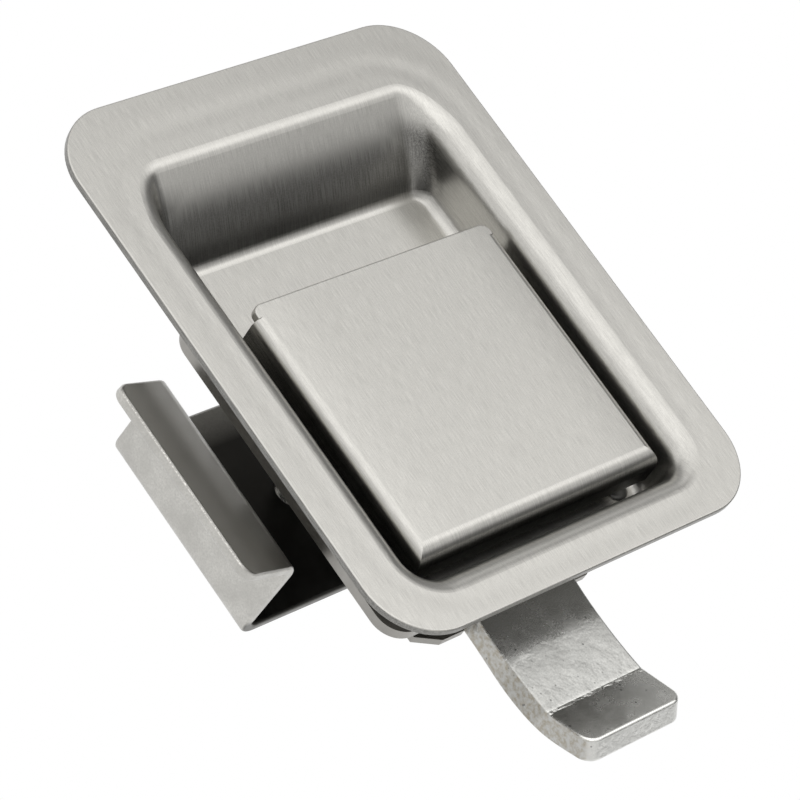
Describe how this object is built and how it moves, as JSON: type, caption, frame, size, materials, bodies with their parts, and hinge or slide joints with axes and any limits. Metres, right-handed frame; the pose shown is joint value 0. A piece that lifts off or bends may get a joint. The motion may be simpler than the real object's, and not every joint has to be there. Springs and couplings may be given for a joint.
{
  "type": "compression latch",
  "caption": "Paddle-handle compression latch: pressed pan with a hinged paddle, a swinging hooked finger behind it, and a clamp bracket on studs that grips the door panel.",
  "frame": {"origin": "centre of the panel cut-out, on the face where the flange seats", "axes": "+Z out of the door, +Y up the pan from the finger to the hand pocket, +X across the latch"},
  "size_m": [0.0932, 0.1274, 0.0485],
  "materials": {
    "satin_stainless": "satin brushed stainless steel, grain along the pan",
    "tumbled_steel": "tumbled stainless steel, duller than the pan",
    "forged_steel": "grey forged steel with pale pitted edges",
    "plain_steel": "plain rolled stainless steel",
    "pin_steel": "ground steel",
    "fastener_steel": "bright stainless steel",
    "spring_wire": "drawn spring wire"
  },
  "bodies": {
    "root": {"pan": "satin_stainless", "back_plate": "plain_steel", "housing": "plain_steel", "rivets": "fastener_steel", "paddle_pin": "pin_steel", "paddle_pin_rings": "pin_steel", "finger_pin": "pin_steel", "finger_pin_rings": "pin_steel", "finger_spacers": "pin_steel", "return_spring": "spring_wire", "studs": "fastener_steel"},
    "paddle": {"paddle": "satin_stainless", "paddle_lever": "plain_steel", "top_link_pin": "pin_steel", "top_link_pin_rings": "pin_steel"},
    "links": {"link_left": "plain_steel", "link_right": "plain_steel"},
    "finger": {"finger": "forged_steel", "tail_pin": "pin_steel", "tail_pin_rings": "pin_steel"},
    "clamp": {"clamp_bracket": "tumbled_steel", "flat_washers": "fastener_steel", "lock_washers": "fastener_steel", "nuts": "fastener_steel"}
  },
  "joints": [
    {"name": "paddle_lift", "type": "hinge", "parent": "root", "child": "paddle", "pos_m": [0, -0.034, -0.0053], "axis": [1, 0, 0], "range_deg": [0, 65], "stiffness_Nm_per_rad": 0.12, "springref_deg": -45.84, "deforming": ["return_spring"]},
    {"name": "link_swing", "type": "hinge", "parent": "paddle", "child": "links", "pos_m": [0, -0.02608, -0.00641], "axis": [1, 0, 0], "range_deg": [-65, 0]},
    {"name": "finger_swing", "type": "hinge", "parent": "root", "child": "finger", "pos_m": [0, -0.031, -0.0173], "axis": [1, 0, 0], "range_deg": [0, 65]},
    {"name": "clamp_slide", "type": "slide", "parent": "root", "child": "clamp", "axis": [0, 0, 1], "range_m": [-0.0015, 0.014]}
  ],
  "couplings": [
    {"joint": "link_swing", "follows": "paddle_lift", "ratio": -1},
    {"joint": "finger_swing", "follows": "paddle_lift", "ratio": 1}
  ]
}
